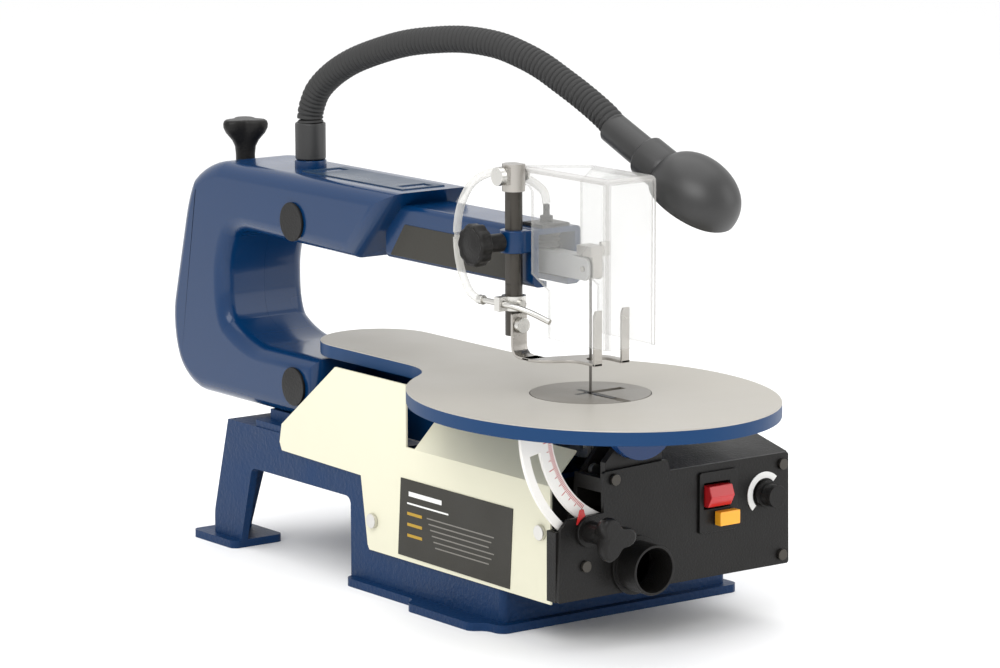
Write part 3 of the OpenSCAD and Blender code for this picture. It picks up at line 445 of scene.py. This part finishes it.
class SawSettings(bpy.types.PropertyGroup):
    """Sizes and colours of the saw's looks."""

    corner: bpy.props.FloatProperty(name="Casting edge",
                                    description="Radius of the long edges of the C-frame",
                                    default=0.012, min=0.004, max=0.016, unit="LENGTH")
    cast_colour: bpy.props.FloatVectorProperty(name="Base paint", description="Paint of the cast base",
                                               default=(0.001, 0.024, 0.085), subtype="COLOR", size=3)
    gloss_colour: bpy.props.FloatVectorProperty(name="Arm paint", description="Paint of the C-frame",
                                                default=(0.001, 0.026, 0.09), subtype="COLOR", size=3)
    edge_colour: bpy.props.FloatVectorProperty(name="Table edge", description="Paint round the table",
                                               default=(0.002, 0.034, 0.11), subtype="COLOR", size=3)
    ground_colour: bpy.props.FloatVectorProperty(name="Table top", description="Ground metal of the table",
                                                 default=(0.42, 0.4, 0.36), subtype="COLOR", size=3)
    cream_colour: bpy.props.FloatVectorProperty(name="Cover", description="Enamel of the side cover",
                                                default=(0.7, 0.68, 0.53), subtype="COLOR", size=3)
    black_colour: bpy.props.FloatVectorProperty(name="Black plastic",
                                                description="Plastic of the panel and knobs",
                                                default=(0.008, 0.0075, 0.007), subtype="COLOR", size=3)
    rib_pitch: bpy.props.FloatProperty(name="Rib pitch",
                                       description="Distance between the ribs of the gooseneck",
                                       default=0.0042, min=0.003, max=0.006, unit="LENGTH")


def settings():
    return bpy.context.scene.saw_settings


# ---------------------------------------------------------------- operators

def join_into(bm, other):
    """Adds the faces of another bmesh, and frees it."""
    mesh = bpy.data.meshes.new("joined")
    other.to_mesh(mesh)
    other.free()
    bm.from_mesh(mesh)
    bpy.data.meshes.remove(mesh)


def slab(bm, points, move, rounds=(), edge=0.0, segments=3, far_only=False):
    """A flat outline pushed along move, its outline's corners rounded and then its end edges."""
    part = bmesh.new()
    face = outline_face(part, points)
    verts = list(face.verts)
    round_corners(part, [(verts[i], r * MM) for i, r in rounds])
    face = part.faces[:][0]
    grown = bmesh.ops.extrude_face_region(part, geom=[face])["geom"]
    bmesh.ops.translate(part, verts=[g for g in grown if isinstance(g, bmesh.types.BMVert)], vec=move)
    cap = [g for g in grown if isinstance(g, bmesh.types.BMFace)][0]
    bmesh.ops.recalc_face_normals(part, faces=part.faces)
    if edge:
        edges = list(cap.edges) if far_only else list(cap.edges) + list(face.edges)
        bmesh.ops.bevel(part, geom=edges, offset=edge * MM, offset_type="OFFSET", affect="EDGES",
                        segments=segments,
                        profile=0.5, material=-1, clamp_overlap=False)
    join_into(bm, part)


def drum(bm, start, end, radius, edge=0.0, sides=48):
    """A round bar from start to end with eased ends."""
    part = bmesh.new()
    length = (end - start).length
    eased = max(edge * MM, 1e-6)
    profile = [(0, 0), (radius * MM - eased, 0), (radius * MM - eased * 0.3, eased * 0.3),
               (radius * MM, eased),
               (radius * MM, length - eased), (radius * MM - eased * 0.3, length - eased * 0.3),
               (radius * MM - eased, length), (0, length)]
    spun(part, profile, start, end - start, sides)
    join_into(bm, part)


class SAW_OT_castings(bpy.types.Operator):
    """Make the two halves of the C-frame, with their deep rounded edges"""

    bl_idname = "saw.castings"
    bl_label = "C-frame"

    def execute(self, context):
        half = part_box("frame_right_half")[1].x - ORIGIN.x
        # Corners as (y, z, radius) in millimetres, round the C.
        corners = [
            (183, 121, 0), (431, 121, 24), (456, 99, 26), (487, -16, 26), (463, -61, 24), (283, -61, 0),
            (283, -14, 0), (380, -14, 24), (406, 4, 20), (406, 50, 16), (392, 71, 18), (235, 68, 0),
        ]
        for side, node in ((-1, "frame_left_half"), (1, "frame_right_half")):
            seam = ORIGIN.x + side * 0.05 * MM
            bm = bmesh.new()
            face = [Vector((seam, at(0, y, 0).y, at(0, 0, z).z)) for y, z, _ in corners]
            slab(bm, face, Vector((side * (half - 0.05 * MM), 0, 0)),
                 [(i, c[2]) for i, c in enumerate(corners) if c[2]], settings().corner / MM, 8, far_only=True)
            # Channel of the front arm, open below and in front.
            x0, x1 = seam, ORIGIN.x + side * 21 * MM
            inner = x1 - side * 5 * MM
            lip = x1 - side * 12 * MM

            def ring(profile, y):
                return [Vector((x, at(0, y, 0).y, at(0, 0, z).z)) for x, z in profile]
            slab(bm, ring([(x0, 111), (x1, 111), (x1, 70), (lip, 70), (lip, 74), (inner, 74), (inner, 107),
                           (x0, 107)], 38), Vector((0, 176 * MM, 0)), [(1, 4), (2, 5)])
            # Trough of the lower arm.
            x2 = ORIGIN.x + side * 22 * MM
            top = -34 if side < 0 else -21
            slab(bm, ring([(x0, -57), (x0, -61), (x2, -61), (x2, top), (x2 - side * 4 * MM, top),
                           (x2 - side * 4 * MM, -57)], 12), Vector((0, 278 * MM, 0)), [(2, 3)])
            if side < 0:
                # Boss that holds the guard post, and the round seat and stub of the lamp.
                drum(bm, at(POST_X, POST_Y, 95), at(POST_X, POST_Y, 111), 10, 1.2)
                slab(bm, [at(-30, 38.5, 95.3), at(-30, 57.5, 95.3), at(-20, 57.5, 95.3), at(-20, 38.5, 95.3)],
                     Vector((0, 0, 15.4 * MM)), (), 1.0)
                drum(bm, at(0, LAMP_Y, 117), at(0, LAMP_Y, 127), 12, 1.0)
                drum(bm, at(0, LAMP_Y, 121), at(0, LAMP_Y, 140), 8, 0.5)
            finish_piece(node + "_casting", bm, node)
        return {"FINISHED"}


class SAW_OT_hardware(bpy.types.Operator):
    """Round the edges of the machined, cast and moulded pieces"""

    bl_idname = "saw.hardware"
    bl_label = "Hardware"

    def execute(self, context):
        widths = {
            "base_casting": 1.6, "frame_top_plate": 0.4, "frame_bolts": 0.4, "pivot_caps": 0.7,
            "pivot_shafts": 0.4,
            "upper_rocker_arm": 0.8, "lower_rocker_arm": 0.8, "tension_rod": 0.3,
            "upper_blade_holder": 0.5, "upper_thumb_screw": 0.3, "lower_blade_holder": 0.5,
            "lower_clamp_screw": 0.2, "air_fitting": 0.4, "pipe_clip": 0.4, "guard_post": 0.4,
            "guard_clamp": 0.8, "guard_screw": 0.5, "foot_screw": 0.4,
            "table_top": 0.8, "table_insert": 0.15, "table_trunnion": 0.8, "tilt_scale": 0.2,
            "tilt_pointer": 0.1,
            "front_bracket": 0.6, "bracket_bolts": 0.3, "side_cover": 0.35,
            "cover_screws": 0.6, "data_plate": 0.1, "arm_label": 0.08, "control_box": 0.6, "front_panel": 0.6,
            "panel_screws": 0.6, "switch_plate": 0.5, "switch_paddle": 0.7, "safety_key": 0.7,
            "speed_plate": 0.08,
            "speed_knob": 0.6, "dust_port": 0.6, "cord_gland": 0.5, "motor_cover": 1.5, "motor": 1.2,
            "motor_shaft": 0.3, "crank_disc": 0.4, "connecting_rod": 0.5, "lamp_base": 1.2,
            "saw_blade": 0.0, "air_bellows": 0.3, "lamp_bulb": 0.0,
        }
        for node, width in widths.items():
            polished(node, width, 3 if width > 1 else 2)
        return {"FINISHED"}


def lobed(bm, centre, axis, layers, lobes, depth, sides=72):
    """A grip built up of rings: layers are (height, radius, how far the lobes stand out), in millimetres."""
    part = bmesh.new()
    made = bmesh.ops.create_circle(part, cap_ends=True, segments=sides, radius=1.0)
    loop = list(made["verts"])
    angles = [math.atan2(v.co.y, v.co.x) for v in loop]

    def shape(verts, height, radius, share):
        for v, a in zip(verts, angles):
            r = radius * (1 - depth * share * (0.5 - 0.5 * math.cos(lobes * a)))
            v.co = Vector((r * math.cos(a), r * math.sin(a), height)) * MM
    shape(loop, *layers[0])
    for layer in layers[1:]:
        edges = [part.edges.get((loop[k], loop[(k + 1) % sides])) for k in range(sides)]
        grown = bmesh.ops.extrude_edge_only(part, edges=edges)["geom"]
        new = {v for v in grown if isinstance(v, bmesh.types.BMVert)}
        loop = [[e.other_vert(v) for e in v.link_edges if e.other_vert(v) in new][0] for v in loop]
        shape(loop, *layer)
    part.faces.new(loop)
    turn = Vector(axis).to_track_quat("Z", "Y").to_matrix().to_4x4()
    bmesh.ops.transform(part, matrix=Matrix.Translation(centre) @ turn, verts=part.verts)
    bmesh.ops.recalc_face_normals(part, faces=part.faces)
    join_into(bm, part)


class SAW_OT_grips(bpy.types.Operator):
    """Make the three black grips: blade tension, post lock and tilt lock"""

    bl_idname = "saw.grips"
    bl_label = "Grips"

    def execute(self, context):
        bm = bmesh.new()
        lobed(bm, at(0, 430, 108), (0, 0, 1),
              [(0, 7.4, 0), (14, 7.4, 0), (20, 8.2, 0.1), (25, 11, 0.5), (31, 16.5, 0.9), (35, 18.6, 1),
               (38, 18.8, 1),
               (40, 18, 1), (41, 16.4, 1)], 3, 0.42)
        finish_piece("tension_grip_moulded", bm, "tension_knob", smooth=50.0)
        bm = bmesh.new()
        drum(bm, at(-36.4, POST_Y, LOCK_Z), at(-40.2, POST_Y, LOCK_Z), 2.9)
        drum(bm, at(-40.5, POST_Y, LOCK_Z), at(-58.5, POST_Y, LOCK_Z), 6.4, 0.8)
        lobed(bm, at(-58, POST_Y, LOCK_Z), (-1, 0, 0),
              [(0, 13.6, 0.6), (1, 15, 1), (7.5, 15.4, 1), (9.4, 14.4, 1), (10, 13, 1),
                                                 (9.2, 11.6, 0), (8.8, 10.8, 0), (9.6, 5.4, 0), (9.9, 1.2,
                                                                                                 0)], 10,
                                                                                                 0.07, 80)
        finish_piece("post_lock_grip_moulded", bm, "post_lock_knob", smooth=50.0)
        bm = bmesh.new()
        stud = at(-43.25, 0, -82.91)

        def along(v):
            return Vector((stud.x, at(0, v, 0).y, stud.z))
        drum(bm, along(-44.4), along(-57), 4)
        drum(bm, along(-53.4), along(-56), 11, 0.5)
        lobed(bm, along(-56), (0, -1, 0), [(0, 7.5, 0), (11, 7.4, 0.1), (15, 9.5, 0.6), (19, 14, 1),
                                           (24, 16.6, 1),
                                           (28, 16.8, 1), (29.6, 15.6, 1), (30, 14, 1)], 3, 0.48)
        finish_piece("tilt_lock_grip_moulded", bm, "tilt_lock_knob", smooth=50.0)
        return {"FINISHED"}


class SAW_OT_blower(bpy.types.Operator):
    """Make the clear hose, the blower pipe and the presser foot"""

    bl_idname = "saw.blower"
    bl_label = "Blower and foot"

    def execute(self, context):
        hose = [at(*p) for p in ((0, 50, 126.4), (-2, 52, 136), (-14, 59, 145.5), (-26, 71, 149),
                                 (-36, 86, 141),
                                 (-41, 95, 123), (-42, 98, 101), (-42, 94, 80), (-41.5, 85, 65), (-41, 76,
                                                                                                  60.2),
                                 (-41, 73.6, 60))]
        line = smooth_path(hose, 6)
        bm = bmesh.new()
        sweep(bm, line, [2.9 * MM] * len(line), 16)
        piece = finish_piece("air_hose_tube", bm, "air_hose", smooth=60.0)
        piece.parent = None
        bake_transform(piece)
        pipe = [at(*p) for p in ((-41, 73, 60), (-41, 62, 60), (-41, 50, 60), (-41, 43, 60), (-38, 36, 59),
                                 (-32, 25, 55.5), (-27, 11, 50.5))]
        line = smooth_path(pipe, 6)
        bm = bmesh.new()
        sweep(bm, line, [2.05 * MM] * len(line), 20)
        drum(bm, at(PIPE_X, 68, 60), at(PIPE_X, 73, 60), 3.4, 0.5, 24)
        finish_piece("blower_pipe_bent", bm, "blower_pipe", smooth=60.0)

        bm = bmesh.new()
        low, thick = 22.5, 2
        # Side profile of the strap: down from the post and round to the flat.
        strap = [(41.2, 53), (41.2, 32), (40.2, 27.6), (37.4, 25.2), (33, 24.5), (20, 24.5), (20, 22.5),
                 (34, 22.5),
                 (39.4, 23.8), (42.6, 27), (43.5, 32), (43.5, 53)]
        slab(bm, [at(-36.5, y, z) for y, z in strap], Vector((13 * MM, 0, 0)), (), 0.5, 2)
        fork = [(-36.5, 30), (-36.5, 18), (-30, 9), (-17, 1), (-14, -6), (-14, -22), (-7, -22), (-7, -5),
                (-3, 1),
                (6, 1), (10, -5), (10, -22), (17, -22), (17, -2), (12, 9), (-6, 16), (-23.5, 22), (-23.5, 30)]
        slab(bm, [at(x, y, low) for x, y in fork], Vector((0, 0, thick * MM)),
             [(1, 5), (2, 4), (3, 4), (7, 3), (8, 3), (9, 3), (10, 3), (13, 4), (14, 5), (15, 6)], 0.4, 2)
        for x in (-14, 10):
            slab(bm, [at(x, -20, low), at(x + 7, -20, low), at(x + 7, -20, 61), at(x + 1.5, -20, 61),
                      at(x, -20, 57)], Vector((0, -thick * MM, 0)), (), 0.4, 2)
        finish_piece("presser_foot_formed", bm, "presser_foot", slot="cast_steel")
        return {"FINISHED"}


class SAW_OT_guard(bpy.types.Operator):
    """Make the clear guard as one folded sheet"""

    bl_idname = "saw.guard"
    bl_label = "Guard"

    def execute(self, context):
        lo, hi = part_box("blade_guard")
        side = [(-48, 38), (-48, 155), (54, 155), (54, 142), (40, 142), (36, 138), (36, 81), (17, 71),
                (17, 38)]
        bm = bmesh.new()
        face = outline_face(bm, [Vector((lo.x, at(0, y, 0).y, at(0, 0, z).z)) for y, z in side])
        grown = bmesh.ops.extrude_face_region(bm, geom=[face])["geom"]
        new = [g for g in grown if isinstance(g, bmesh.types.BMVert)]
        bmesh.ops.translate(bm, verts=new, vec=(hi.x - lo.x, 0, 0))
        for v in new:
            if v.co.y > at(0, 38, 0).y:
                v.co.y = at(0, 36, 0).y if v.co.z < at(0, 0, 150).z else at(0, 20, 0).y
        bmesh.ops.recalc_face_normals(bm, faces=bm.faces)
        front = at(0, -48, 0).y
        open_faces = [f for f in bm.faces if f.normal.y > 0.3 or f.normal.z < -0.3]
        bmesh.ops.delete(bm, geom=open_faces, context="FACES")
        bmesh.ops.remove_doubles(bm, verts=bm.verts, dist=1e-6)
        fold = [e for e in bm.edges if len(e.link_faces) == 2 and e.calc_face_angle(0) > 0.8
                and any(abs(v.co.y - front) < 1e-4 or v.co.z > at(0, 0, 154).z for v in e.verts)]
        bmesh.ops.bevel(bm, geom=fold, offset=4 * MM, offset_type="OFFSET", affect="EDGES", segments=5,
                        profile=0.5, material=-1, clamp_overlap=True)
        bmesh.ops.solidify(bm, geom=bm.faces, thickness=2.3 * MM)
        bmesh.ops.recalc_face_normals(bm, faces=bm.faces)
        # Painted shade: the narrow faces of the cut edges and folds take the denser, darker grey rim finish.
        for f in bm.faces:
            if min(e.calc_length() for e in f.edges) < 2.6 * MM:
                f.material_index = 1
        sheet = finish_piece("blade_guard_sheet", bm, "blade_guard", smooth=40.0)
        sheet.data.materials.append(rim_shade_material())
        return {"FINISHED"}


class SAW_OT_lamp(bpy.types.Operator):
    """Make the ribbed gooseneck and the shade of the lamp"""

    bl_idname = "saw.lamp"
    bl_label = "Lamp"

    def execute(self, context):
        start = at(50.5, 25, 170.5)
        way = Vector((0.14, -0.87, -0.47)).normalized()
        route = [at(*p) for p in (
            (0, 341, 155), (0, 341, 160), (0.5, 339, 168), (1.5, 332, 180), (4, 318, 192), (7, 298, 203),
            (11, 274, 212), (16, 242, 221), (21, 211, 226), (26, 180, 228.5), (31, 150, 227), (34, 127,
                                                                                               222.5),
            (38, 106, 215.5), (41, 86, 206.5), (44, 64, 196), (47.2, 43, 184))] + [start - way * 6 * MM,
                                                                                   start]
        pitch = settings().rib_pitch
        line = even_path(smooth_path(route, 12), pitch / 4)
        wave = (9.9, 9.75, 8.7, 9.75)
        bm = bmesh.new()
        sweep(bm, line, [wave[i % 4] * MM for i in range(len(line))], 24)
        neck = finish_piece("lamp_neck_ribbed", bm, "lamp_neck", smooth=50.0)
        neck.parent = None
        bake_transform(neck)

        # The shade: an egg cut open below, and the sleeve that joins it to the neck.
        bm = bmesh.new()
        centre, long, wide = 73, 34, 28
        profile = [(max(0.0, wide * math.sin(math.radians(a)) ** 0.8) * MM,
                    (centre - long * math.cos(math.radians(a))) * MM) for a in range(0, 181, 6)]
        profile[0] = (0.0, profile[0][1])
        profile[-1] = (0.0, profile[-1][1])
        spun(bm, profile, start, way, 64)
        down = Vector((0, 0, -1))
        down = (down - way * down.dot(way)).normalized()
        bmesh.ops.bisect_plane(bm, geom=bm.verts[:] + bm.edges[:] + bm.faces[:], dist=1e-7,
                                     plane_co=start + down * 8 * MM, plane_no=down, clear_outer=True)
        bmesh.ops.recalc_face_normals(bm, faces=bm.faces)
        bmesh.ops.solidify(bm, geom=bm.faces, thickness=2.4 * MM)
        mesh = bpy.data.meshes.new("sleeve")
        sleeve = bmesh.new()
        spun(sleeve, [(0, -15), (10.6, -15), (11.2, -14), (11.4, 20), (11.6, 21), (14.2, 21.4), (15, 22.4),
                      (15.2, 40), (14.4, 43), (0, 44)], Vector(), (0, 0, 1), 48)
        bmesh.ops.scale(sleeve, vec=(MM, MM, MM), verts=sleeve.verts)
        turn = way.to_track_quat("Z", "Y").to_matrix().to_4x4()
        bmesh.ops.transform(sleeve, matrix=Matrix.Translation(start) @ turn, verts=sleeve.verts)
        sleeve.to_mesh(mesh)
        sleeve.free()
        bm.from_mesh(mesh)
        bpy.data.meshes.remove(mesh)
        finish_piece("lamp_shade", bm, "lamp_head", smooth=35.0)
        return {"FINISHED"}


class SAW_OT_prints(bpy.types.Operator):
    """Make the plain bars on the plates, the painted shade of the insert's blade slot, and the marks of the
    tilt scale
    """

    bl_idname = "saw.prints"
    bl_label = "Prints"

    def bar(self, bm, lo, hi):
        made = bmesh.ops.create_cube(bm, size=1.0)
        size = hi - lo
        bmesh.ops.scale(bm, vec=size, verts=made["verts"])
        bmesh.ops.translate(bm, vec=(lo + hi) / 2, verts=made["verts"])
        return made["verts"]

    def execute(self, context):
        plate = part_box("data_plate")[0].x

        def print_bars(name, rows, finish=None):
            bm = bmesh.new()
            for z, tall, a, b in rows:
                self.bar(bm, Vector((plate - 0.12 * MM, at(0, b, 0).y, at(0, 0, z).z)),
                         Vector((plate + 0.05 * MM, at(0, a, 0).y, at(0, 0, z + tall).z)))
            finish_piece(name, bm, "data_plate", slot="print_white", replaces=False, finish=finish)
        grey = finish_material("print_grey", (0.2, 0.19, 0.17), 0.5)
        amber = finish_material("print_amber", (0.42, 0.26, 0.03), 0.5)
        print_bars("plate_title", [(-93, 3.4, 152, 112), (-99, 1.2, 154, 104)])
        print_bars("plate_lines", [(-106 - 4 * k, 0.9, 130 - 2 * k, 50 + 3 * (k % 3)) for k in range(6)],
                   grey)
        print_bars("plate_flags", [(-107 - 8 * k, 2.2, 154, 136) for k in range(3)], amber)

        # Painted shade of the insert's blade slot: a thin black bar laid on the insert's top where the slot's
        # dark opening shows.
        bm = bmesh.new()
        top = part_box("table_insert")[1].z
        self.bar(bm, Vector((at(-2.2, 0, 0).x, at(0, -26, 0).y, top - 0.2 * MM)),
                 Vector((at(2.2, 0, 0).x, at(0, 14, 0).y, top + 0.02 * MM)))
        self.bar(bm, Vector((at(-13, 0, 0).x, at(0, -2.2, 0).y, top - 0.2 * MM)),
                 Vector((at(2.2, 0, 0).x, at(0, 2.2, 0).y, top + 0.02 * MM)))
        finish_piece("insert_slot_painted_shade", bm, "table_insert", slot="black_plastic", replaces=False)

        # Tick marks of the tilt scale, round the tilt axis.
        scale_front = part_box("tilt_scale")[0].y
        bm = bmesh.new()
        for k in range(46):
            angle = math.radians(37 + k)
            tall = 7 if k % 15 == 0 else (5 if k % 5 == 0 else 3)
            verts = self.bar(bm, Vector((-0.25 * MM, scale_front - 0.12 * MM, -(72 + tall) * MM)),
                             Vector((0.25 * MM, scale_front + 0.05 * MM, -72 * MM)))
            turn = Matrix.Translation(at(0, 0, -8) - Vector((0, ORIGIN.y, 0))) @ Matrix.Rotation(angle, 4,
                                                                                                 "Y")
            bmesh.ops.transform(bm, matrix=turn, verts=verts)
        finish_piece("scale_marks", bm, "tilt_scale", slot="pointer_red", replaces=False)
        return {"FINISHED"}


class SAW_OT_stage(bpy.types.Operator):
    """Make the floor, the lights and the camera"""

    bl_idname = "saw.stage"
    bl_label = "Stage"

    def execute(self, context):
        scene = context.scene
        bm = bmesh.new()
        bmesh.ops.create_grid(bm, x_segments=1, y_segments=1, size=60.0)
        mesh = bpy.data.meshes.new("floor")
        bm.to_mesh(mesh)
        bm.free()
        floor = bpy.data.objects.new("floor", mesh)
        scene.collection.objects.link(floor)
        mat = bpy.data.materials.new("floor_white")
        mat.use_nodes = True
        shader = mat.node_tree.nodes["Principled BSDF"]
        shader.inputs["Base Color"].default_value = (0.97, 0.97, 0.97, 1)
        shader.inputs["Roughness"].default_value = 0.9
        mesh.materials.append(mat)

        world = bpy.data.worlds.new("studio")
        scene.world = world
        scene.view_settings.view_transform = "Standard"
        world.use_nodes = True
        sky = world.node_tree.nodes["Background"]
        sky.inputs["Color"].default_value = (1, 1, 1, 1)
        sky.inputs["Strength"].default_value = 1.0

        def lamp(name, place, target, size, power):
            data = bpy.data.lights.new(name, "AREA")
            data.energy = power
            data.shape = "RECTANGLE"
            data.size, data.size_y = size
            obj = bpy.data.objects.new(name, data)
            scene.collection.objects.link(obj)
            obj.location = place
            obj.rotation_euler = (target - place).to_track_quat("-Z", "Y").to_euler()
        middle = at(0, 200, 0)
        lamp("key", at(-1500, -900, 1500), middle, (1.6, 1.2), 26)
        lamp("top", at(200, 300, 1900), middle, (2.2, 2.2), 20)
        lamp("fill", at(1500, -1300, 700), middle, (1.2, 1.6), 9)

        data = bpy.data.cameras.new("view")
        data.lens, data.sensor_width = 151.1, 36.0
        data.clip_start, data.clip_end = 0.05, 50
        camera = bpy.data.objects.new("view", data)
        scene.collection.objects.link(camera)
        turn, lift, roll = math.radians(-36.77), math.radians(9.92), math.radians(-0.17)
        back = Vector((math.sin(turn) * math.cos(lift), -math.cos(turn) * math.cos(lift), math.sin(lift)))
        right = Vector((math.cos(turn), math.sin(turn), 0))
        up = back.cross(right)
        across = right * math.cos(roll) + up * math.sin(roll)
        rise = up * math.cos(roll) - right * math.sin(roll)
        camera.matrix_world = Matrix.Translation(at(-1757.3, -2247.2, 540.0)) @ Matrix(
            (across, rise, back)).transposed().to_4x4()
        scene.camera = camera
        return {"FINISHED"}


class SAW_PT_panel(bpy.types.Panel):
    """Lists the steps that finish the saw"""

    bl_idname = "SAW_PT_panel"
    bl_label = "Scroll saw"
    bl_space_type = "VIEW_3D"
    bl_region_type = "UI"
    bl_category = "Saw"

    def draw(self, context):
        layout = self.layout
        for name in SawSettings.__annotations__:
            layout.prop(context.scene.saw_settings, name)
        for operator in OPERATORS:
            layout.operator(operator.bl_idname)


OPERATORS = (SAW_OT_stage, SAW_OT_castings, SAW_OT_hardware, SAW_OT_grips, SAW_OT_blower, SAW_OT_guard,
             SAW_OT_lamp, SAW_OT_prints)
CLASSES = (SawSettings, *OPERATORS, SAW_PT_panel)


def register():
    for c in CLASSES:
        bpy.utils.register_class(c)
    bpy.types.Scene.saw_settings = bpy.props.PointerProperty(type=SawSettings)


def unregister():
    del bpy.types.Scene.saw_settings
    for c in reversed(CLASSES):
        bpy.utils.unregister_class(c)


def main():
    register()
    for step in (bpy.ops.saw.stage, bpy.ops.saw.castings, bpy.ops.saw.hardware, bpy.ops.saw.grips,
                 bpy.ops.saw.blower, bpy.ops.saw.guard,
                 bpy.ops.saw.lamp, bpy.ops.saw.prints):
        step()


if __name__ == "__main__":
    main()
